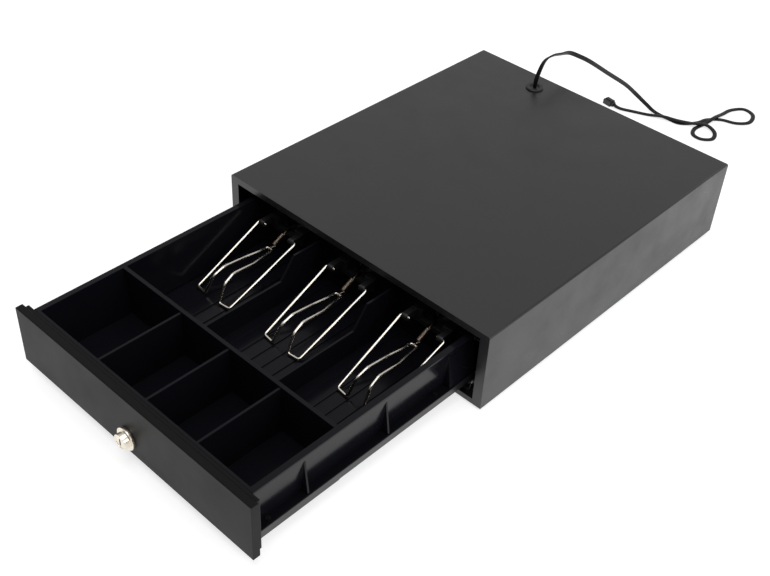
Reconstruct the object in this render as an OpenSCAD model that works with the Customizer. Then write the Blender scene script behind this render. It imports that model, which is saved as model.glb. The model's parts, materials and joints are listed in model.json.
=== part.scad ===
// Cash drawer with a moulded till tray, standing open.
// Frame: +Z up, +Y towards the back, millimetres. The origin is on the counter,
// under the middle of the open object.

/* [Case] */
// Width of the case
case_w = 350; // [346:1:356]
// Depth of the case from front to back
case_d = 410; // [408:1:440]
// Height of the steel case without its feet
case_h = 89.5; // [89:0.5:96]
// Thickness of the steel sheet
sheet = 1.2; // [1:0.1:1.3]
// Width of the front opening
mouth_w = 329; // [328:1:332]
// Height of the lower front rim
sill_h = 6; // [4:0.5:6.5]
// Height of the top of the front opening
mouth_top = 82; // [78:0.5:82]
// Height of the rubber feet under the case
foot_h = 3; // [2.5:0.1:5]

/* [Drawer] */
// How far the drawer stands open
pull = 268; // [120:1:268]
// Width of the front panel
panel_w = 323.4; // [320:0.1:324]
// Lower edge of the front panel above the case's underside
panel_low = 8.1; // [8:0.1:8.4]
// Upper edge of the front panel
panel_high = 73.2; // [72:0.1:75]
// Width of the runners over both sides
runner_w = 304.4; // [304:0.1:305]

/* [Till tray] */
// Outer width of the tray at its rim
tray_w = 300; // [298:1:301]
// Height of the tray's rim
rim_z = 71; // [70:0.5:72]
// Top of the tray's floor
floor_z = 17.3; // [17:0.1:18]
// Height of the dividers between the coin cups
cup_divider_z = 69.5; // [55:0.5:70]
// Height of the low part of the note dividers
note_divider_z = 44.6; // [40:0.1:50]
// Height of the high part of the note dividers
note_back_z = 68; // [66:0.5:69]
// Width of each of the three narrow coin cups, the fourth takes the rest
cup_w = 65; // [58:0.5:66]

/* [Note clips] */
// Diameter of the clip wire
wire_d = 3; // [2.6:0.1:3]
// Half the distance between the outer legs at the hinge
leg_x = 27.3; // [27:0.1:28]

/* [Cable] */
// Width of the flat cable
cable_w = 5.5; // [5:0.1:6]
// Thickness of the flat cable
cable_t = 2.3; // [2:0.1:2.4]

/* [Hidden] */

$fn = 48;
eps = 0.01;
// gap between folded parts of one body
seam = 0.05;
// gap between a roller and what it runs on
roll_gap = 0.3;
// radial clearance of a pin in a turning part
run_fit = 0.06;
// radial clearance of a screw in its hole
screw_fit = 0.1;

// places along Y: the lock nose is the foremost point, the case's back the hindmost
lock_proud = 9;
case_front = lock_proud + pull - (case_d + pull + lock_proud) / 2;

// case
cover_hem = 14;
edge_r = 2;
base_z = sheet + seam;
base_top = base_z + sheet;
flange_h = 14;
rear_y = case_d - 4;
hem_screw_x = case_w / 2 - 7;
foot_x = 140;
foot_inset = 35;
foot_r = 10;
screw_r = 1.5;
grommet_x = -72;
grommet_y = 382.5;

// rails and runners
rail_back = 171;
rail_tip = 155;
rail_low = 9;
rail_high = 26;
rail_start = 13;
rail_end = 400;
run_out = runner_w / 2;
run_in = 141;
run_top_in = 142.6;
run_low = 13.5;
run_high = 20;
run_start = 12.05;
run_full = 300;
run_end = 345;
step_y = 106;
front_roller_r = 4.4;
front_roller_y = 16;
front_roller_z = run_low - roll_gap - front_roller_r;
rear_roller_r = 7;
rear_roller_y = 330;
rear_roller_z = (rail_low + rail_high) / 2;

// tray
tray_front = 12.05;
tray_back = 285;
draft = 5.6;
front_draft = 12;
skin = 2;
rim = 3;
side_rim = 6;
rim_lip = 2.2;
rim_over = 3;
floor_low = 15;
narrow_cups = 3;
crossbar_y = 108;
crossbar_t = 4;
divider_t = 2.4;
bays = 3;
bay_pitch = 100.8;
bay_back = 282;
slope_start = 223;
slope_end = 241;
flange_t = 1.5;
lip_out = run_out - sheet - 0.2;
gusset_ys = [71, 168];
rear_box_y = 250;

// note clips
pivot_y = 265;
pivot_z = 56.3;
wire_r = wire_d / 2;
spring_drop = [-10.5, -16.2];
spring_tilt = 27;

// latch at the middle of the back
latch_y = 372;
latch_z = 30;
plunger_y = 388;

// ejector
kicker_x = 60;
kicker_y = 385;
kicker_len = 50;
kicker_turn = 20;

// lock
lock_z = 26.6;
lock_r = 11.5;
barrel_r = 8.5;
plug_r = 6;

// the flat cable: where it leaves the grommet, how it falls and how it lies
cable_route = [
    [-72, 316, 93.3], [-72, 318, 106], [-73, 330, 122], [-72, 344, 125],
    [-71, 360, 122], [-70, 377, 118], [-64, 392, 110], [-58, 409, 99],
    [-51, 443, 74], [-44, 480, 47], [-38, 502, 27], [-28, 516, 11],
    [-15, 520, 3], [6, 521, 1.4], [23, 523, 1.4], [37, 541, 1.4],
    [42, 558, 1.4], [55, 572, 1.4], [73, 579, 1.4], [84, 594, 1.4],
    [78, 614, 1.4], [62, 619, 1.4], [51, 604, 1.4], [49, 584, 2.2],
    [48, 566, 4], [46, 546, 2.2], [43, 526, 1.4], [49, 512, 1.4],
    [62, 510, 1.4], [72, 521, 1.4], [66, 536, 2.2], [50, 541, 4],
    [34, 530, 4], [17, 522, 4], [0, 517, 4], [-18, 510, 1.4],
    [-36, 502, 1.4], [-49, 496, 1.6], [-56, 493.5, 2.5], [-62, 494, 3.3]];

// how far the flat cable is rolled over, in degrees, at some of those points
cable_roll = [[0, 0], [1, 0], [3, -51], [4, -51], [6, -108], [10, -108],
    [12, -175], [13, -180], [40, -180]];
plug_turn = -9;

// the lead inside the case, from the solenoid to the grommet
lead_route = [
    [12.6, 392, 12], [24, 394, 12], [24, 396, 60], [-60, 394, 66],
    [grommet_x, 385, 72], [grommet_x, grommet_y, case_h - 3.3]];

// ---- helpers ----

function unit(v) = v / norm(v);

// a point on the smooth curve through route points i and i + 1
function curve_at(p, i, t) =
    let (n = len(p) - 1, a = p[max(i - 1, 0)], b = p[i], c = p[i + 1], d = p[min(i + 2, n)])
    0.5 * (2 * b + (c - a) * t + (2 * a - 5 * b + 4 * c - d) * t * t
        + (3 * b - a - 3 * c + d) * t * t * t);

function curve(p, steps) =
    [for (i = [0 : len(p) - 2]) for (k = [0 : steps - 1]) curve_at(p, i, k / steps), p[len(p) - 1]];

// a path with each inner corner rounded off over the length r
function rounded(p, r, steps = 4) = [
    p[0],
    for (i = [1 : len(p) - 2])
        let (a = p[i] + unit(p[i - 1] - p[i]) * r, b = p[i] + unit(p[i + 1] - p[i]) * r)
        for (k = [0 : steps])
            let (t = k / steps)
            a * (1 - t) * (1 - t) + p[i] * 2 * t * (1 - t) + b * t * t,
    p[len(p) - 1]];

function heading(p, i) = unit(p[min(i + 1, len(p) - 1)] - p[max(i - 1, 0)]);

// the sideways direction at every point of a path, kept level
function level(p) = [for (i = [0 : len(p) - 1]) unit(cross(heading(p, i), [0, 0, 1]))];

// the same for a path of so many steps to a point, rolled as the table says
function rolled(p, steps, table) = let (w = level(p)) [
    for (i = [0 : len(p) - 1])
        let (a = lookup(i / steps, table)) w[i] * cos(a) - cross(w[i], heading(p, i)) * sin(a)];

// the same, carried along the path without twist
function carried(p) = [
    for (i = 0, w = level(p)[0]; i < len(p); i = i + 1,
        w = unit(w - heading(p, i) * (w * heading(p, i)))) w];

function ring(p, i, w, section) =
    let (n = cross(w, heading(p, i))) [for (s = section) p[i] + w * s[0] + n * s[1]];

function round_section(r, sides) =
    [for (k = [0 : sides - 1]) [r * cos(360 * (k + 0.5) / sides), r * sin(360 * (k + 0.5) / sides)]];

function flat_section(w, t) = [
    [w / 2, -t / 5], [w / 2, t / 5], [w * 0.4, t / 2], [-w * 0.4, t / 2],
    [-w / 2, t / 5], [-w / 2, -t / 5], [-w * 0.4, -t / 2], [w * 0.4, -t / 2]];

// one closed tube along path p
module sweep(p, sideways, section) {
    m = len(section);
    n = len(p);
    polyhedron(
        points = [for (i = [0 : n - 1]) each ring(p, i, sideways[i], section)],
        faces = [
            [for (k = [m - 1 : -1 : 0]) k],
            [for (k = [0 : m - 1]) (n - 1) * m + k],
            for (i = [0 : n - 2]) for (k = [0 : m - 1])
                [i * m + k, i * m + (k + 1) % m, (i + 1) * m + (k + 1) % m, (i + 1) * m + k]],
        convexity = 10);
}

// the case stands with its front face at y = 0 and its underside at z = 0
module in_case() {
    translate([0, case_front, foot_h]) children();
}

// the drawer's own frame: the face of its front panel at y = 0
module in_drawer() {
    translate([0, case_front - pull, foot_h]) children();
}

module both_sides() {
    children();
    mirror([1, 0, 0]) children();
}

// the right-hand part, or its mirror image for the left
module side(left) {
    mirror([left ? 1 : 0, 0, 0]) children();
}

// a box from corner a to corner b
module block(a, b) {
    translate(a) cube(b - a);
}

// a cylinder along X, Y or Z from place a over length l
module rod_x(a, l, r) {
    translate(a) rotate([0, 90, 0]) cylinder(h = l, r = r);
}

module rod_y(a, l, r) {
    translate(a) rotate([-90, 0, 0]) cylinder(h = l, r = r);
}

module rod_z(a, l, r) {
    translate(a) cylinder(h = l, r = r);
}

// an outline in X and Z drawn out along Y from y0 to y1
module along_y(y0, y1) {
    translate([0, y1, 0]) rotate([90, 0, 0]) linear_extrude(height = y1 - y0) children();
}

// an outline in Y and Z drawn out along X from x0 to x1
module along_x(x0, x1) {
    translate([x0, 0, 0]) rotate([90, 0, 90]) linear_extrude(height = x1 - x0) children();
}

// a screw standing on z = 0 with its head above
module pan_screw(head_r, head_h, shank) {
    rod_z([0, 0, 0], head_h, head_r);
    rod_z([0, 0, -shank], shank + eps, screw_r);
}

// ---- case ----

module cover_outline() {
    translate([-case_w / 2, 0]) square([case_w, case_h - edge_r]);
    translate([-case_w / 2 + edge_r, 0]) square([case_w - 2 * edge_r, case_h]);
    for (s = [-1, 1]) translate([s * (case_w / 2 - edge_r), case_h - edge_r]) circle(r = edge_r);
}

module hem_screw_places() {
    for (s = [-1, 1]) for (y = [60, case_d / 2, case_d - 50]) translate([s * hem_screw_x, y, 0]) children();
}

module foot_places() {
    for (s = [-1, 1]) for (y = [foot_inset, case_d - foot_inset]) translate([s * foot_x, y, 0]) children();
}

module case_cover() {
    color([0.13, 0.13, 0.14])
    in_case() difference() {
        along_y(0, case_d) cover_outline();
        block([-case_w / 2 + sheet, sheet, sheet], [case_w / 2 - sheet, case_d + 1, case_h - sheet]);
        block([-case_w / 2 + cover_hem, sheet, -1], [case_w / 2 - cover_hem, case_d + 1, sheet + 1]);
        block([-mouth_w / 2, -1, -1], [mouth_w / 2, sheet + 1, mouth_top]);
        hem_screw_places() rod_z([0, 0, -1], sheet + 2, screw_r + screw_fit);
        rod_z([grommet_x, grommet_y, case_h - 5], 10, 8);
    }
}

module base_plate() {
    x = case_w / 2 - sheet - 0.2;
    color([0.12, 0.12, 0.13])
    in_case() difference() {
        union() {
            block([-x, sheet + seam, base_z], [x, rear_y - 0.1, base_top]);
            block([-mouth_w / 2 + 0.2, 0, base_z], [mouth_w / 2 - 0.2, 2 * sheet, base_top]);
            block([-mouth_w / 2 + 0.2, 0, 0], [mouth_w / 2 - 0.2, sheet, sill_h]);
            both_sides() block([x - sheet, 20, base_z], [x, case_d - 20, flange_h]);
            block([-160, rear_y - 0.1 - sheet, base_z], [160, rear_y - 0.1, flange_h]);
        }
        hem_screw_places() rod_z([0, 0, 0], 5, screw_r + screw_fit);
        foot_places() rod_z([0, 0, 0], 5, screw_r + screw_fit);
        rear_screw_places() rod_y([0, -5, 0], 10, screw_r + screw_fit);
    }
}

module rear_screw_places() {
    for (x = [-140, -50, 50, 140]) translate([x, rear_y, 9.5]) children();
}

module rear_panel() {
    x = case_w / 2 - sheet - 0.15;
    color([0.12, 0.12, 0.13])
    in_case() difference() {
        union() {
            block([-x, rear_y, base_z], [x, rear_y + sheet, case_h - sheet - 0.15]);
            block([-x, rear_y - 12, case_h - 2 * sheet - 0.15], [x, rear_y + sheet, case_h - sheet - 0.15]);
            both_sides() block([x - sheet, rear_y - 12, 20], [x, rear_y + sheet, case_h - sheet - 0.15]);
        }
        rear_screw_places() rod_y([0, -5, 0], 10, screw_r + screw_fit);
    }
}

module rear_screws() {
    color("silver")
    in_case() rear_screw_places() translate([0, sheet, 0]) rotate([-90, 0, 0]) pan_screw(3, 1.8, 7);
}

module cover_screws() {
    color("silver")
    in_case() hem_screw_places() mirror([0, 0, 1]) pan_screw(3, 1.8, 7);
}

module rubber_feet() {
    color([0.06, 0.06, 0.06])
    in_case() foot_places() difference() {
        translate([0, 0, -foot_h]) cylinder(h = foot_h + base_z, r1 = foot_r - 1, r2 = foot_r);
        rod_z([0, 0, -foot_h - 1], 2.4, 3.6);
        rod_z([0, 0, -foot_h], 10, screw_r + screw_fit);
    }
}

module foot_screws() {
    color("silver")
    in_case() foot_places() translate([0, 0, -foot_h + 1.4]) mirror([0, 0, 1]) pan_screw(3.2, 1.2, 7);
}

// ---- rails and rollers ----

module rail(left) {
    color([0.62, 0.63, 0.65])
    in_case() side(left) difference() {
        along_y(rail_start, rail_end) {
            translate([rail_back - sheet, base_top]) square([sheet, rail_high - base_top]);
            translate([158, base_top]) square([rail_back - 158, sheet]);
            translate([rail_tip, rail_low]) square([rail_back - rail_tip, sheet]);
            translate([rail_tip, rail_high - sheet]) square([rail_back - rail_tip, sheet]);
        }
        hem_screw_places() rod_z([0, 0, 0], 6, screw_r + screw_fit);
    }
}

module roller_brackets() {
    color([0.62, 0.63, 0.65])
    in_case() both_sides() {
        block([141.2, 8, base_top], [153, 24, base_top + sheet]);
        for (x = [141.2, 151.8]) difference() {
            union() {
                block([x, 11, base_top], [x + sheet, 21, front_roller_z]);
                rod_x([x, front_roller_y, front_roller_z], sheet, 3.4);
            }
            rod_x([x - 1, front_roller_y, front_roller_z], sheet + 2, screw_r + 0.05);
        }
    }
}

module roller_pins() {
    color("silver")
    in_case() both_sides() {
        rod_x([140.6, front_roller_y, front_roller_z], 13, screw_r);
        rod_x([139.4, front_roller_y, front_roller_z], 1.3, 2.4);
    }
}

module front_roller(left) {
    color([0.9, 0.9, 0.88])
    in_case() side(left) difference() {
        rod_x([143, front_roller_y, front_roller_z], 8, front_roller_r);
        rod_x([142, front_roller_y, front_roller_z], 10, screw_r + run_fit);
    }
}

module rear_roller_pins() {
    color("silver")
    in_drawer() both_sides() {
        rod_x([run_out - sheet - 1, rear_roller_y, rear_roller_z], 13, 2);
        rod_x([run_out - sheet - 1.2, rear_roller_y, rear_roller_z], 1.15, 2.6);
        rod_x([161.8, rear_roller_y, rear_roller_z], 1.2, 3.4);
    }
}

module rear_roller(left) {
    color([0.9, 0.9, 0.88])
    in_drawer() side(left) difference() {
        rod_x([run_out + 1, rear_roller_y, rear_roller_z], 8, rear_roller_r);
        rod_x([run_out, rear_roller_y, rear_roller_z], 10, 2 + run_fit);
    }
}

module flange_screw_places() {
    for (y = [30, 235]) translate([146, y, run_high + flange_t]) children();
}

module tie_screw_places() {
    for (x = [143.5, 148.5]) translate([x, 334, run_low + 2 * sheet]) children();
}

module runner(left) {
    color([0.2, 0.2, 0.21])
    in_drawer() side(left) difference() {
        union() {
            along_y(run_start, run_full) {
                translate([run_out - sheet, run_low]) square([sheet, run_high + flange_t - run_low]);
                translate([run_in, run_low]) square([run_out - run_in, sheet]);
                translate([run_top_in, run_high - sheet]) square([run_out - run_top_in, sheet]);
            }
            along_y(run_full - eps, run_end) {
                translate([run_out - sheet, run_low]) square([sheet, 11]);
                translate([run_in, run_low]) square([run_out - run_in, sheet]);
            }
            block([run_in, run_start, run_low], [run_out, run_start + sheet, run_high]);
            block([run_out - sheet, run_start, run_low - 0.8], [run_out, step_y, run_low + 0.5]);
        }
        flange_screw_places() rod_z([0, 0, -4], 5, screw_r + screw_fit);
        tie_screw_places() rod_z([0, 0, -4], 5, screw_r + screw_fit);
        rod_x([run_out - 3, rear_roller_y, rear_roller_z], 5, 2.05);
        translate([146, 0, 16.75]) rod_y([0, run_start - 1, 0], 3, screw_r + screw_fit);
    }
}

module runner_screws() {
    color([0.25, 0.25, 0.26])
    in_drawer() both_sides() {
        flange_screw_places() pan_screw(2.4, 1, 5);
        translate([146, run_start - sheet - seam, 16.75]) rotate([90, 0, 0]) pan_screw(1.9, 1.2, 6);
    }
}

module rear_tie() {
    x = run_out - sheet - 0.2;
    color([0.62, 0.63, 0.65])
    in_drawer() difference() {
        union() {
            block([-x, 326, run_low + sheet], [x, run_end, run_low + 2 * sheet]);
            block([-74, run_end - sheet, run_low + sheet], [74, run_end, 46]);
        }
        block([-7, run_end - 5, 22], [7, run_end + 1, 40]);
        both_sides() tie_screw_places() rod_z([0, 0, -4], 5, screw_r + screw_fit);
        both_sides() block([x - 2, rear_roller_y - 4, run_low], [x + 1, rear_roller_y + 4, 22]);
    }
}

module tie_screws() {
    color("silver")
    in_drawer() both_sides() tie_screw_places() pan_screw(2, 1.4, 5);
}

// ---- drawer front ----

module front_panel() {
    x = panel_w / 2;
    color([0.1, 0.1, 0.1])
    in_drawer() difference() {
        union() {
            block([-x, 0, panel_low], [x, 7.5, panel_high]);
        }
        block([-x + sheet, sheet, panel_low + sheet], [x - sheet, 8.5, panel_high - sheet]);
        rod_y([0, -1, lock_z], 4, barrel_r + screw_fit);
    }
}

module panel_backing() {
    x = 158.5;
    z0 = 11.2;
    z1 = 71;
    y1 = run_start - seam;
    color([0.1, 0.1, 0.1])
    in_drawer() difference() {
        block([-x, 7.55, z0], [x, y1, z1]);
        block([-x + sheet, 7, z0 + sheet], [x - sheet, y1 - sheet, z1 - sheet]);
        rod_y([0, 5, lock_z], 10, barrel_r + screw_fit);
        both_sides() translate([146, 0, 16.75]) rod_y([0, 5, 0], 10, screw_r + screw_fit);
    }
}

// ---- till tray ----

// a block that narrows downwards: w at the top height z1, less by k of the drafts at z0
module drafted(w, y0, y1, z0, z1, k) {
    d = k * draft;
    intersection() {
        along_y(y0, y1) polygon([[-w / 2, z1], [w / 2, z1], [w / 2 - d, z0], [-w / 2 + d, z0]]);
        along_x(-w / 2, w / 2) polygon([[y0, z1], [y1, z1], [y1, z0], [y0 + k * front_draft, z0]]);
    }
}

cup_front = tray_front + rim;
cup_back = crossbar_y - crossbar_t / 2;
bay_front = crossbar_y + crossbar_t / 2;
inner_w = tray_w - 2 * side_rim;
body_w = tray_w - 2 * rim_over;

// the hollows of the tray, without its dividers
module tray_hollow() {
    difference() {
        drafted(inner_w, cup_front, bay_back, floor_z, rim_z + eps,
            (rim_z - floor_z) / (rim_z - floor_low));
        block([-200, cup_back, 0], [200, bay_front, 100]);
        for (k = [1 : narrow_cups])
            translate([inner_w / 2 - k * (cup_w + divider_t), 0, 0])
                block([0, 0, 0], [divider_t, crossbar_y, cup_divider_z]);
        for (s = [-1, 1]) translate([s * bay_pitch / 2, 0, 0]) note_divider();
    }
}

module note_divider() {
    along_x(-divider_t / 2, divider_t / 2) polygon([
        [crossbar_y, 0], [bay_back + 5, 0], [bay_back + 5, note_back_z], [slope_end, note_back_z],
        [slope_start, note_divider_z], [crossbar_y, note_divider_z]]);
}

// the outline of the side gussets
module gusset_outline() {
    polygon([[134, run_high], [lip_out, run_high], [lip_out, run_high + flange_t], [145.9, 58], [140, 58]]);
}

// behind the last gusset each side is closed by a wall, hollow behind and open below
module rear_box() {
    difference() {
        along_y(rear_box_y, tray_back) gusset_outline();
        along_y(rear_box_y + skin, bay_back) polygon([
            [139.5, run_high - 1], [lip_out - skin, run_high - 1], [lip_out - skin, run_high + 2],
            [144.3, 46]]);
    }
}

module till_tray() {
    color([0.1, 0.1, 0.13])
    in_drawer() difference() {
        union() {
            drafted(body_w, tray_front, tray_back, floor_low, rim_z, 1);
            block([-tray_w / 2, tray_front, rim_z - rim_lip], [tray_w / 2, tray_back, rim_z]);
            both_sides() {
                block([136, run_start + 0.1, run_high], [lip_out, rear_box_y + 1, run_high + flange_t]);
                for (y = gusset_ys) along_y(y - 1, y + 1) gusset_outline();
                rear_box();
            }
        }
        tray_hollow();
        for (b = [-1 : 1]) {
            translate([b * bay_pitch, 0, 0]) floor_grooves();
            block([b * bay_pitch - 2.5, bay_back - 2, 48], [b * bay_pitch + 2.5, tray_back + 1, rim_z + 1]);
        }
        both_sides() flange_screw_places() rod_z([0, 0, -4], 5, screw_r + screw_fit);
    }
}

module floor_grooves() {
    for (k = [-2.5 : 1 : 2.5])
        block([k * 15 - 1.4, bay_front + 12, floor_z - 1.1], [k * 15 + 1.4, bay_back - 6, floor_z + 1]);
}

// ---- note clips ----

module at_bay(b) {
    in_drawer() translate([b * bay_pitch, pivot_y, pivot_z]) children();
}

function clip_half(s) = [
    [s * leg_x, 0, 0], [s * 24.4, -87, -37.3], [s * 10.4, -88.5, -37.3],
    [s * 8.5, -78.5, -19], [s * 7.4, -66, -13.5], [s * 7, -38, -16],
    [s * 4.5, -20, -16.2], [s * 4.5, spring_drop[0], spring_drop[1]]];

function reversed(p) = [for (i = [len(p) - 1 : -1 : 0]) p[i]];

module note_clip(b) {
    color([0.8, 0.77, 0.72])
    at_bay(b) {
        path = rounded(concat(clip_half(-1), reversed(clip_half(1))), 3.2, 3);
        sweep(path, carried(path), round_section(wire_r * 0.98, 8));
        both_sides() rod_x([17, 0, 0], leg_x + wire_r - 17, wire_r);
        translate([0, spring_drop[0], spring_drop[1]]) rod_x([-2, 0, 0], 4, wire_r);
    }
}

module clip_bracket(b) {
    color([0.09, 0.09, 0.1])
    at_bay(b) difference() {
        union() {
            block([-25, 12, -11], [25, bay_back - pivot_y - seam, 4]);
            both_sides() {
                block([19, 0, -3.6], [25.4, 12.5, 3.6]);
                rod_x([19, 0, 0], 6.4, 3.6);
            }
        }
        both_sides() rod_x([15, 0, 0], 12, wire_r + run_fit);
        block([-13, 10, -5.3], [13, 25, 8]);
        block([-2.5, 10, -8.3], [2.5, 25, 8]);
    }
}

// the spring's eye turns on the wire and its rod passes through the bracket's notch
module clip_spring(b) {
    color([0.75, 0.73, 0.7])
    at_bay(b) translate([0, spring_drop[0], spring_drop[1]]) rotate([spring_tilt - 90, 0, 0]) {
        difference() {
            rod_x([-0.8, 0, 0], 1.6, wire_r + 1.2);
            rod_x([-1, 0, 0], 2, wire_r + run_fit);
        }
        rod_z([0, 0, wire_r + 0.8], 33.7, 0.75);
        rod_z([0, 0, 5.5], 15, 2.5);
    }
}

// ---- lock ----

module lock_housing() {
    color([0.72, 0.68, 0.6])
    in_drawer() difference() {
        union() {
            rod_y([0, -3.5, lock_z], 3.5, lock_r);
            rod_y([0, -lock_proud, lock_z], 8, 8);
            rod_y([0, -1, lock_z], 17, barrel_r);
        }
        rod_y([0, -lock_proud - 1, lock_z], 30, plug_r + run_fit);
    }
}

module lock_nut() {
    color("silver")
    in_drawer() difference() {
        translate([0, run_start + 0.05, lock_z]) rotate([-90, 0, 0]) cylinder(h = 2.8, r = 11.8, $fn = 6);
        rod_y([0, run_start - 1, lock_z], 6, barrel_r + 0.05);
    }
}

module lock_cylinder() {
    color([0.78, 0.74, 0.66])
    in_drawer() difference() {
        union() {
            rod_y([0, -lock_proud + 0.4, lock_z], 24.8, plug_r);
            rod_y([0, 16, lock_z], 3.2, 3);
        }
        block([-0.9, -lock_proud - 1, lock_z - 3.8], [0.9, 3, lock_z + 3.8]);
        rod_y([0, 12, lock_z], 8, screw_r);
    }
}

module lock_cam() {
    color("silver")
    in_drawer() difference() {
        union() {
            rod_y([0, 16.4, lock_z], 1.8, 6);
            block([0, 16.4, lock_z - 5], [22, 18.2, lock_z + 5]);
        }
        rod_y([0, 15, lock_z], 5, 3.02);
    }
}

module cam_screw() {
    color("silver")
    in_drawer() {
        rod_y([0, 14, lock_z], 5.3, screw_r - 0.05);
        rod_y([0, 19.25, lock_z], 1.1, 3.6);
    }
}

module lock_keeper() {
    color([0.62, 0.63, 0.65])
    in_case() {
        block([-12, 13.8, base_top], [12, 15, 7.6]);
        block([-12, 5, base_top], [12, 15, base_top + sheet]);
    }
}

// ---- latch and solenoid ----

module latch_bracket() {
    color([0.62, 0.63, 0.65])
    in_case() difference() {
        union() {
            block([-14, 352, base_top], [14, 377, base_top + sheet]);
            both_sides() block([10.8, 365, base_top], [12, 377, 36]);
        }
        rod_x([-20, latch_y, latch_z], 40, 2.05);
    }
}

module latch_pin() {
    color("silver")
    in_case() {
        rod_x([-13, latch_y, latch_z], 26, 2);
        both_sides() rod_x([12.2, latch_y, latch_z], 1, 3.2);
    }
}

module latch_lever() {
    color([0.62, 0.63, 0.65])
    in_case() difference() {
        union() {
            rod_x([-5, latch_y, latch_z], 10, 4.5);
            block([-4, 340, 27], [4, latch_y - 2, 31]);
            along_x(-4, 4) polygon([[337.5, 26], [340.5, 17.5], [343.2, 17.5], [343.2, 31], [337.5, 31]]);
            block([-6, latch_y + 2, 28], [6, 392, 32]);
        }
        rod_x([-10, latch_y, latch_z], 20, 2 + run_fit);
        block([-2.1, 384, 20], [2.1, 400, 40]);
    }
}

module solenoid_frame() {
    color([0.6, 0.6, 0.62])
    in_case() difference() {
        union() {
            block([-12.5, 378.5, base_top], [12.5, 398, base_top + sheet]);
            block([-12.5, 378.5, 20], [12.5, 398, 21.5]);
            both_sides() block([11.3, 378.5, base_top], [12.5, 398, 21.5]);
        }
        rod_z([0, plunger_y, 10], 20, 4.2);
    }
}

module solenoid_coil() {
    color([0.45, 0.2, 0.08])
    in_case() difference() {
        rod_z([0, plunger_y, base_top + sheet + seam], 16, 9.2);
        rod_z([0, plunger_y, 0], 40, 4.2);
    }
}

module solenoid_plunger() {
    color("silver")
    in_case() {
        rod_z([0, plunger_y, 8], 18.4, 4);
        rod_z([0, plunger_y, 25.8], 1, 5.8);
        rod_z([0, plunger_y, 26.5], 7.2, 1.5);
        rod_z([0, plunger_y, 33.4], 1.5, 3.6);
    }
}

module plunger_spring() {
    color("silver")
    in_case() difference() {
        rod_z([0, plunger_y, 21.55], 4.2, 5.4);
        rod_z([0, plunger_y, 20], 10, 4.6);
    }
}

// ---- ejector and switch ----

module kicker_post() {
    color("silver")
    in_case() {
        rod_z([kicker_x, kicker_y, base_top], 1.5, 8);
        rod_z([kicker_x, kicker_y, base_top], 34, 3);
        rod_z([kicker_x, kicker_y, 35], 1.4, 4.6);
    }
}

module kicker_spring() {
    color("silver")
    in_case() {
        difference() {
            rod_z([kicker_x, kicker_y, 4.2], 20, 5.6);
            rod_z([kicker_x, kicker_y, 3], 30, 4.2);
        }
        block([kicker_x + 4.5, kicker_y - 0.6, 4.2], [kicker_x + 22, kicker_y + 0.6, 5.4]);
    }
}

module kicker_arm() {
    color([0.62, 0.63, 0.65])
    in_case() translate([kicker_x, kicker_y, 0]) difference() {
        union() {
            rod_z([0, 0, 25], 9, 6.5);
            rotate([0, 0, -kicker_turn]) {
                block([-3, -kicker_len, 29], [3, -4, 33]);
                rod_z([0, -kicker_len, 29], 4, 3);
            }
        }
        rod_z([0, 0, 20], 20, 3 + run_fit);
    }
}

module drawer_switch() {
    color([0.15, 0.15, 0.16])
    in_case() difference() {
        union() {
            block([-56, 350, base_top], [-36, 366, base_top + sheet]);
            block([-56, 352, base_top], [-36, 366, 34]);
        }
        rod_y([-46, 340, 29], 20, 2.1);
    }
}

module switch_button() {
    color([0.7, 0.1, 0.08])
    in_case() rod_y([-46, 343.2, 29], 13, 2);
}

// the lead from the solenoid to the grommet, held by the case
module inner_lead() {
    color([0.1, 0.1, 0.1])
    in_case() {
        path = rounded(lead_route, 4, 3);
        sweep(path, carried(path), round_section(1.8, 8));
    }
}

// ---- free cable ----

module cable_grommet() {
    color([0.05, 0.05, 0.05])
    in_case() translate([grommet_x, grommet_y, case_h]) rotate_extrude() polygon([
        [0, -sheet - 2.1], [9.5, -sheet - 2.1], [9.5, -sheet - 0.1], [7.9, -sheet - 0.1],
        [7.9, 0], [10.5, 0], [10.5, 1.2], [9.5, 2.2], [6.2, 2.2], [5.2, 0.8], [0, 0.8]]);
}

module cable() {
    path = curve(cable_route, 2);
    color([0.07, 0.07, 0.07])
    sweep(path, rolled(path, 2, cable_roll), flat_section(cable_w, cable_t));
}

// a modular plug lying on the counter with its latch up
module cable_plug() {
    end = cable_route[len(cable_route) - 1];
    color([0.1, 0.1, 0.1])
    translate([end[0], end[1], 0]) rotate([0, 0, plug_turn]) {
        block([-15.5, -4.8, 0], [-3, 4.8, 6.6]);
        block([-4, -3.3, 1], [0, 3.3, 5.6]);
        block([-14.5, -1.6, 6.5], [-3, 1.6, 7.6]);
    }
}

case_cover();
base_plate();
rear_panel();
rear_screws();
cover_screws();
rubber_feet();
foot_screws();
rail(true);  // rail_left
rail(false);  // rail_right
roller_brackets();
roller_pins();
front_roller(true);  // front_roller_left
front_roller(false);  // front_roller_right
lock_keeper();
latch_bracket();
latch_pin();
latch_lever();
solenoid_frame();
solenoid_coil();
solenoid_plunger();
plunger_spring();
kicker_post();
kicker_spring();
kicker_arm();
drawer_switch();
switch_button();
inner_lead();
cable_grommet();
cable();
cable_plug();
front_panel();
panel_backing();
till_tray();
runner(true);  // runner_left
runner(false);  // runner_right
runner_screws();
rear_tie();
tie_screws();
rear_roller_pins();
rear_roller(true);  // rear_roller_left
rear_roller(false);  // rear_roller_right
lock_housing();
lock_nut();
lock_cylinder();
lock_cam();
cam_screw();
clip_bracket(-1);  // clip_bracket_left
clip_bracket(0);  // clip_bracket_middle
clip_bracket(1);  // clip_bracket_right
note_clip(-1);  // note_clip_left
note_clip(0);  // note_clip_middle
note_clip(1);  // note_clip_right
clip_spring(-1);  // clip_spring_left
clip_spring(0);  // clip_spring_middle
clip_spring(1);  // clip_spring_right
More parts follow.
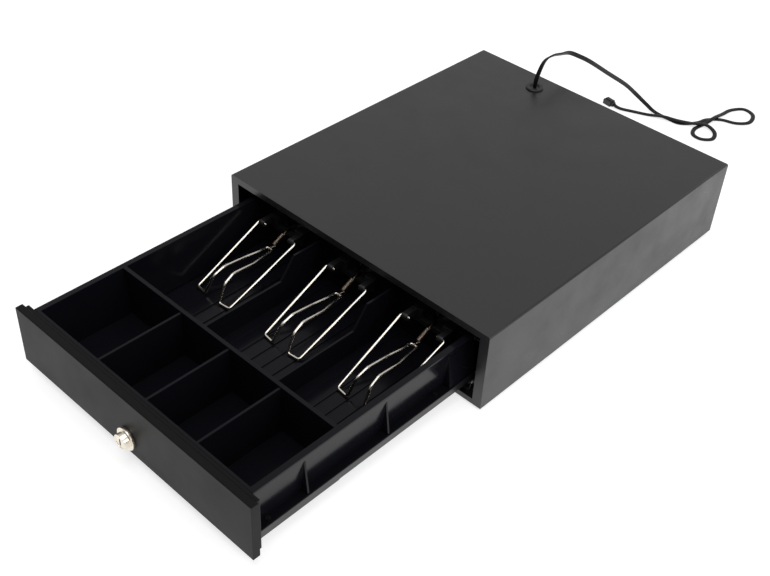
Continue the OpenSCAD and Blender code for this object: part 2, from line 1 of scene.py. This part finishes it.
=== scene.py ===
import bpy
import json
import math
from mathutils import Matrix, Vector


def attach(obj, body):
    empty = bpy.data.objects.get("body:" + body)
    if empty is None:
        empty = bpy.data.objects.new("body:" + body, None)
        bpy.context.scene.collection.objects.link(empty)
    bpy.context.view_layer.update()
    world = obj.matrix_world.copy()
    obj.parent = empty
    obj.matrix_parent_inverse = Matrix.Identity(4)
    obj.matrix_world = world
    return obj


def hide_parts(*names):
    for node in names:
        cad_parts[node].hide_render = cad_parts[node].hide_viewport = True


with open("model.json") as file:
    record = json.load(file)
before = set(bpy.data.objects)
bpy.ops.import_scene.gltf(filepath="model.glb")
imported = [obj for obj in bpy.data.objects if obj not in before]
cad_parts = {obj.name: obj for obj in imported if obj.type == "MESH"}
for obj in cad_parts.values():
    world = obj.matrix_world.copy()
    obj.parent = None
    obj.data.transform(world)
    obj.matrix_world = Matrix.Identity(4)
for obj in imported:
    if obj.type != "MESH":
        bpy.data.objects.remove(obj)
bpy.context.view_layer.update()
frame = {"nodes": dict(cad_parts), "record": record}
nodes = frame["nodes"]
# sizes and places below are millimetres in the frame's axes, and metres where they say so
MM = 0.001


# ---- camera ----

CAMERA_LENS = 52.953
CAMERA_SENSOR = 36.0
CAMERA_PLACE_M = (0.597157, -0.688906, 0.761300)
CAMERA_AHEAD = (-0.509515, 0.577203, -0.638147)
CAMERA_RIGHT = (0.723063, 0.689242, 0.046103)


def make_camera():
    data = bpy.data.cameras.new("camera")
    data.lens = CAMERA_LENS
    data.sensor_width = CAMERA_SENSOR
    data.clip_start = 0.01
    cam = bpy.data.objects.new("camera", data)
    bpy.context.scene.collection.objects.link(cam)
    right = Vector(CAMERA_RIGHT).normalized()
    ahead = Vector(CAMERA_AHEAD).normalized()
    up = right.cross(ahead)
    right = ahead.cross(up).normalized()
    up.normalize()
    turn = Matrix((right, up, -ahead)).transposed().to_4x4()
    cam.matrix_world = Matrix.Translation(CAMERA_PLACE_M) @ turn
    bpy.context.scene.camera = cam


make_camera()


# ---- mesh helpers ----

def new_object(name, verts, faces):
    mesh = bpy.data.meshes.new(name)
    mesh.from_pydata([tuple(v) for v in verts], [], faces)
    mesh.validate()
    mesh.polygons.foreach_set("use_smooth", [True] * len(mesh.polygons))
    obj = bpy.data.objects.new(name, mesh)
    bpy.context.scene.collection.objects.link(obj)
    return obj


def curve_points(route, steps):
    """The smooth line through the route's points, as part.scad draws it."""
    p = [Vector(q) for q in route]
    n = len(p) - 1
    out = []
    for i in range(n):
        a, b, c, d = p[max(i - 1, 0)], p[i], p[i + 1], p[min(i + 2, n)]
        for k in range(steps):
            t = k / steps
            out.append(0.5 * (2 * b + (c - a) * t + (2 * a - 5 * b + 4 * c - d) * t * t
                              + (3 * b - a - 3 * c + d) * t * t * t))
    out.append(p[n])
    return out


def rounded(route, r, steps):
    """A path with its inner corners rounded off over the length r."""
    p = [Vector(q) for q in route]
    out = [p[0]]
    for i in range(1, len(p) - 1):
        a = p[i] + (p[i - 1] - p[i]).normalized() * r
        b = p[i] + (p[i + 1] - p[i]).normalized() * r
        for k in range(steps + 1):
            t = k / steps
            out.append(a * (1 - t) ** 2 + p[i] * 2 * t * (1 - t) + b * t * t)
    out.append(p[-1])
    return out


def headings(path):
    """The direction of the path at each of its points."""
    n = len(path) - 1
    return [(path[min(i + 1, n)] - path[max(i - 1, 0)]).normalized() for i in range(n + 1)]


def tube(name, path, section, roll=None):
    """A closed tube along the path. Its sides are carried along without twist, or, where roll
    gives an angle for each point, turned by that much from the level."""
    ahead = headings(path)
    side = ahead[0].cross(Vector((0, 0, 1)))
    if side.length < 1e-6:
        side = Vector((1, 0, 0))
    side.normalize()
    verts, faces = [], []
    m = len(section)
    for i, p in enumerate(path):
        if roll:
            flat = ahead[i].cross(Vector((0, 0, 1))).normalized()
            side = flat * math.cos(roll[i]) - flat.cross(ahead[i]) * math.sin(roll[i])
        else:
            side = (side - ahead[i] * side.dot(ahead[i])).normalized()
        up = side.cross(ahead[i])
        verts += [p + side * s[0] + up * s[1] for s in section]
        if i:
            for k in range(m):
                a, b = (i - 1) * m + k, (i - 1) * m + (k + 1) % m
                faces.append((a, b, b + m, a + m))
    faces.append(tuple(range(m))[::-1])
    faces.append(tuple((len(path) - 1) * m + k for k in range(m)))
    return new_object(name, verts, faces)


def circle_section(r, sides):
    return [(r * math.cos(2 * math.pi * k / sides), r * math.sin(2 * math.pi * k / sides))
            for k in range(sides)]


# ---- the free cable ----

# the same route as the CAD's cable has
CABLE_ROUTE = [
    (-72, 316, 93.3), (-72, 318, 106), (-73, 330, 122), (-72, 344, 125),
    (-71, 360, 122), (-70, 377, 118), (-64, 392, 110), (-58, 409, 99),
    (-51, 443, 74), (-44, 480, 47), (-38, 502, 27), (-28, 516, 11),
    (-15, 520, 3), (6, 521, 1.4), (23, 523, 1.4), (37, 541, 1.4),
    (42, 558, 1.4), (55, 572, 1.4), (73, 579, 1.4), (84, 594, 1.4),
    (78, 614, 1.4), (62, 619, 1.4), (51, 604, 1.4), (49, 584, 2.2),
    (48, 566, 4), (46, 546, 2.2), (43, 526, 1.4), (49, 512, 1.4),
    (62, 510, 1.4), (72, 521, 1.4), (66, 536, 2.2), (50, 541, 4),
    (34, 530, 4), (17, 522, 4), (0, 517, 4), (-18, 510, 1.4),
    (-36, 502, 1.4), (-49, 496, 1.6), (-56, 493.5, 2.5), (-62, 494, 3.3)]
# the flat cable's roll: the number of a route point, and the degrees there
CABLE_ROLL = [(0, 0), (1, 0), (3, -51), (4, -51), (6, -108), (10, -108), (12, -175), (13, -180),
              (40, -180)]
CABLE_W = 5.5
CABLE_T = 2.3
CABLE_STEPS = 6
CABLE_SIDES = 20
# below 1, these powers square up the section's outline across its width and its thickness
CABLE_SQUARE_W = 0.45
CABLE_SQUARE_T = 0.75


def looked_up(table, x):
    """The table's value at x, on straight lines between its rows."""
    for (a, u), (b, v) in zip(table, table[1:]):
        if x <= b:
            return u + (v - u) * (x - a) / (b - a)
    return table[-1][1]


def cable_section():
    w, t = CABLE_W * MM / 2, CABLE_T * MM / 2
    section = []
    for k in range(CABLE_SIDES):
        a = 2 * math.pi * k / CABLE_SIDES
        c, s = math.cos(a), math.sin(a)
        section.append((w * math.copysign(abs(c) ** CABLE_SQUARE_W, c),
                        t * math.copysign(abs(s) ** CABLE_SQUARE_T, s)))
    return section


def make_cable():
    path = [p * MM for p in curve_points(CABLE_ROUTE, CABLE_STEPS)]
    roll = [math.radians(looked_up(CABLE_ROLL, i / CABLE_STEPS)) for i in range(len(path))]
    obj = tube("cable_sheath", path, cable_section(), roll)
    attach(obj, "case")
    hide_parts("cable")
    return obj


cable = make_cable()


# ---- note clips and their springs ----

WIRE_R = 1.5
WIRE_BEND = 3.0
LEG_X = 27.3
BAY_PITCH = 100.8
# the front face of the open drawer, and the height of the case's underside on its feet
DRAWER_FRONT = -334.5
UNDERSIDE = 3
# the middle clip's pivot, and from there the place that its spring hooks on to
PIVOT = Vector((0, 265 + DRAWER_FRONT, 56.3 + UNDERSIDE))
SPRING_DROP = Vector((0, -10.5, -16.2))
SPRING_TILT = math.radians(27)
SPRING_WIRE_R = 0.52
SPRING_EYE_R = 2.1
SPRING_COIL_R = 2.0
SPRING_TURNS = 15
SPRING_COIL_START = 5.5
SPRING_COIL_LENGTH = 15
EYE_STEPS = 20


def clip_route():
    """The corners of a clip's wire from its left pivot end to its right one."""
    half = [(17, 0, 0), (LEG_X, 0, 0), (24.4, -87, -37.3), (10.4, -88.5, -37.3),
            (8.5, -78.5, -19), (7.4, -66, -13.5), (7, -38, -16), (4.5, -20, -16.2),
            (4.5, SPRING_DROP.y, SPRING_DROP.z)]
    return [(-x, y, z) for x, y, z in half] + [(x, y, z) for x, y, z in reversed(half)]


def coil(r, turns, start, length, steps=14):
    """Points of a helix along +Z."""
    n = int(turns * steps)
    return [Vector((r * math.cos(2 * math.pi * k / steps), r * math.sin(2 * math.pi * k / steps),
                    start + length * k / n)) for k in range(n + 1)]


def spring_route():
    """A spring's wire along +Z: the open eye, the neck, the coil and the straight tail."""
    eye = [Vector((0, -SPRING_EYE_R * math.sin(a), SPRING_EYE_R * math.cos(a)))
           for a in (2 * math.pi * k / EYE_STEPS for k in range(2, EYE_STEPS + 1))]
    neck = [Vector((0, 0.4, 3.2)), Vector((0.6, 1, 4.2)), Vector((1.6, 0.9, 5))]
    wind = coil(SPRING_COIL_R, SPRING_TURNS, SPRING_COIL_START, SPRING_COIL_LENGTH)
    tail = [Vector((2, 0.1, 20.6)), Vector((1, 0.2, 21.4)), Vector((0, 0, 22.6)), Vector((0, 0, 36))]
    return eye + neck + wind + tail


def make_clip(side, origin):
    path = [(origin + p) * MM for p in rounded(clip_route(), WIRE_BEND, 6)]
    clip = tube("wire_clip_" + side, path, circle_section(WIRE_R * MM, 14))
    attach(clip, "note_clip_" + side)
    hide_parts("note_clip_" + side)
    return clip


def make_spring(side, origin):
    place = Matrix.Translation(origin + SPRING_DROP) @ Matrix.Rotation(
        SPRING_TILT - math.pi / 2, 4, "X")
    line = [(place @ p) * MM for p in spring_route()]
    spring = tube("wound_spring_" + side, line, circle_section(SPRING_WIRE_R * MM, 8))
    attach(spring, "clip_spring_" + side)
    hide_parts("clip_spring_" + side)
    return spring


clips = []
springs = []
for side, bay in (("left", -1), ("middle", 0), ("right", 1)):
    pivot = PIVOT + Vector((bay * BAY_PITCH, 0, 0))
    clips.append(make_clip(side, pivot))
    springs.append(make_spring(side, pivot))


# ---- rounded edges ----

WELD_GAP_M = 0.00001
# edges that turn by fewer degrees than this stay as they are
EASED_ANGLE = 35


def ease(names, width, segments=2):
    """Takes the sharpness off the edges of these CAD pieces."""
    for name in names:
        obj = nodes[name]
        weld = obj.modifiers.new("weld", "WELD")
        weld.merge_threshold = WELD_GAP_M
        bevel = obj.modifiers.new("bevel", "BEVEL")
        bevel.width = width * MM
        bevel.segments = segments
        bevel.limit_method = "ANGLE"
        bevel.angle_limit = math.radians(EASED_ANGLE)
        bevel.use_clamp_overlap = True


ease(["front_panel"], 0.9, segments=3)
ease(["panel_backing"], 0.5)
ease(["till_tray"], 0.45)
ease(["case_cover", "base_plate", "runner_left", "runner_right", "rear_panel"], 0.3)
ease(["cable_plug", "lock_housing", "lock_cylinder", "lock_nut", "clip_bracket_left",
      "clip_bracket_middle", "clip_bracket_right"], 0.35)


# ---- materials ----

BROAD_SCALE = 22.0
COLOR_VARY = 0.12
RELIEF_M = 0.00015


def material(name, color, rough, metal=0.0, spec=0.5, grain=900.0, bump=0.15,
             streak=(1, 1, 1), rough_vary=0.08):
    """A surface with small changes of colour and roughness and a fine relief. The grain is the
    relief's scale, and the streak stretches it."""
    mat = bpy.data.materials.new(name)
    mat.use_nodes = True
    tree = mat.node_tree
    shader = tree.nodes["Principled BSDF"]
    shader.inputs["Metallic"].default_value = metal
    shader.inputs["Specular IOR Level"].default_value = spec

    def node(kind, **inputs):
        n = tree.nodes.new(kind)
        for k, v in inputs.items():
            n.inputs[k.replace("_", " ")].default_value = v
        return n

    place = tree.nodes.new("ShaderNodeTexCoord")
    stretch = node("ShaderNodeMapping", Scale=streak)
    tree.links.new(place.outputs["Object"], stretch.inputs["Vector"])
    fine = node("ShaderNodeTexNoise", Scale=grain, Detail=3.0, Roughness=0.6)
    broad = node("ShaderNodeTexNoise", Scale=BROAD_SCALE, Detail=4.0, Roughness=0.6)
    tree.links.new(stretch.outputs["Vector"], fine.inputs["Vector"])
    tree.links.new(place.outputs["Object"], broad.inputs["Vector"])

    def ranged(source, low, high):
        n = tree.nodes.new("ShaderNodeMapRange")
        n.inputs["From Min"].default_value = 0.3
        n.inputs["From Max"].default_value = 0.7
        n.inputs["To Min"].default_value = low
        n.inputs["To Max"].default_value = high
        tree.links.new(source, n.inputs["Value"])
        return n.outputs["Result"]

    mix = tree.nodes.new("ShaderNodeMix")
    mix.data_type = "RGBA"
    mix.inputs["A"].default_value = (*[c * (1 - COLOR_VARY) for c in color], 1)
    mix.inputs["B"].default_value = (*[min(1, c * (1 + COLOR_VARY)) for c in color], 1)
    both = tree.nodes.new("ShaderNodeMath")
    both.operation = "ADD"
    tree.links.new(ranged(fine.outputs["Fac"], 0, 0.5), both.inputs[0])
    tree.links.new(ranged(broad.outputs["Fac"], 0, 0.5), both.inputs[1])
    tree.links.new(both.outputs[0], mix.inputs["Factor"])
    tree.links.new(mix.outputs["Result"], shader.inputs["Base Color"])
    tree.links.new(ranged(broad.outputs["Fac"], rough - rough_vary, rough + rough_vary),
                   shader.inputs["Roughness"])
    relief = node("ShaderNodeBump", Strength=bump, Distance=RELIEF_M)
    tree.links.new(fine.outputs["Fac"], relief.inputs["Height"])
    tree.links.new(relief.outputs["Normal"], shader.inputs["Normal"])
    return mat


MATERIALS = {
    "case_paint": material("case_paint", (0.013, 0.013, 0.0145), 0.34, grain=1500, bump=0.12),
    "panel_gloss": material("panel_gloss", (0.003, 0.003, 0.003), 0.42, spec=0.12, grain=900,
                            bump=0.05, rough_vary=0.04),
    "runner_paint": material("runner_paint", (0.012, 0.012, 0.0135), 0.34, grain=1200, bump=0.1),
    "zinc_steel": material("zinc_steel", (0.4, 0.41, 0.43), 0.4, metal=1, streak=(1, 0.05, 1)),
    "screw_steel": material("screw_steel", (0.6, 0.6, 0.61), 0.28, metal=1),
    "screw_black": material("screw_black", (0.005, 0.005, 0.005), 0.35),
    "spring_steel": material("spring_steel", (0.42, 0.34, 0.27), 0.3, metal=1),
    "clip_wire": material("clip_wire", (0.74, 0.69, 0.62), 0.2, metal=1, grain=300, bump=0.04,
                          rough_vary=0.05),
    "lock_nickel": material("lock_nickel", (0.86, 0.79, 0.68), 0.25, metal=1, grain=600),
    "tray_plastic": material("tray_plastic", (0.0055, 0.0056, 0.008), 0.17, spec=0.12, grain=1300,
                             bump=0.05, rough_vary=0.04),
    "switch_plastic": material("switch_plastic", (0.008, 0.008, 0.009), 0.4, grain=1500),
    "button_plastic": material("button_plastic", (0.4, 0.03, 0.02), 0.4),
    "roller_nylon": material("roller_nylon", (0.05, 0.05, 0.05), 0.45),
    "cable_sheath": material("cable_sheath", (0.004, 0.004, 0.005), 0.35, spec=0.25, grain=500,
                             bump=0.1),
    "coil_tape": material("coil_tape", (0.35, 0.14, 0.04), 0.4, streak=(0.1, 0.1, 8)),
    "rubber": material("rubber", (0.008, 0.008, 0.008), 0.5, grain=1100, bump=0.3),
}

slots = {s["node"]: s["material_slot"] for s in frame["record"]["subparts"]}
for name, obj in nodes.items():
    obj.data.materials.clear()
    obj.data.materials.append(MATERIALS[slots[name]])
cable.data.materials.append(MATERIALS["cable_sheath"])
for obj in clips:
    obj.data.materials.append(MATERIALS["clip_wire"])
for obj in springs:
    obj.data.materials.append(MATERIALS["spring_steel"])


# ---- stage ----

FLOOR_HALF_M = 4.0
FLOOR_GREY = 0.55
FLOOR_GLOW = 0.7
# the strength of the studio on its light side and on its dark side
STUDIO_LIGHT = 0.7
STUDIO_DARK = 0.12


def make_stage():
    s = FLOOR_HALF_M
    floor = new_object("floor", [(-s, -s, 0), (s, -s, 0), (s, s, 0), (-s, s, 0)], [(0, 1, 2, 3)])
    mat = bpy.data.materials.new("floor")
    mat.use_nodes = True
    shader = mat.node_tree.nodes["Principled BSDF"]
    shader.inputs["Base Color"].default_value = (FLOOR_GREY, FLOOR_GREY, FLOOR_GREY, 1)
    shader.inputs["Roughness"].default_value = 0.9
    shader.inputs["Emission Color"].default_value = (1, 1, 1, 1)
    shader.inputs["Emission Strength"].default_value = FLOOR_GLOW
    floor.data.materials.append(mat)


def make_world():
    """A studio that is light overhead and behind and dark on the camera's side."""
    world = bpy.data.worlds.new("world")
    bpy.context.scene.world = world
    world.use_nodes = True
    tree = world.node_tree
    place = tree.nodes.new("ShaderNodeTexCoord")
    along = tree.nodes.new("ShaderNodeVectorMath")
    along.operation = "DOT_PRODUCT"
    along.inputs[1].default_value = (0.0, 0.8, 0.6)
    tree.links.new(place.outputs["Generated"], along.inputs[0])
    grade = tree.nodes.new("ShaderNodeMapRange")
    grade.interpolation_type = "SMOOTHSTEP"
    for key, value in (("From Min", -0.45), ("From Max", 0.35), ("To Min", STUDIO_DARK),
                       ("To Max", STUDIO_LIGHT)):
        grade.inputs[key].default_value = value
    tree.links.new(along.outputs["Value"], grade.inputs["Value"])
    back = tree.nodes["Background"]
    back.inputs["Color"].default_value = (1, 1, 1, 1)
    tree.links.new(grade.outputs["Result"], back.inputs["Strength"])


def area_light(name, place, target, size, power):
    """A rectangle of light at a place in metres, facing its target."""
    data = bpy.data.lights.new(name, "AREA")
    data.shape = "RECTANGLE"
    data.size, data.size_y = size
    data.energy = power
    light = bpy.data.objects.new(name, data)
    light.location = place
    light.rotation_euler = (Vector(target) - Vector(place)).to_track_quat("-Z", "Y").to_euler()
    bpy.context.scene.collection.objects.link(light)


make_stage()
make_world()
area_light("key", (0.2, -0.5, 2.0), (0, 0, 0), (1.2, 1.2), 10)
area_light("right", (1.7, -0.1, 0.9), (0, 0.1, 0), (1.0, 1.0), 6)
bpy.context.scene.view_settings.view_transform = "Standard"
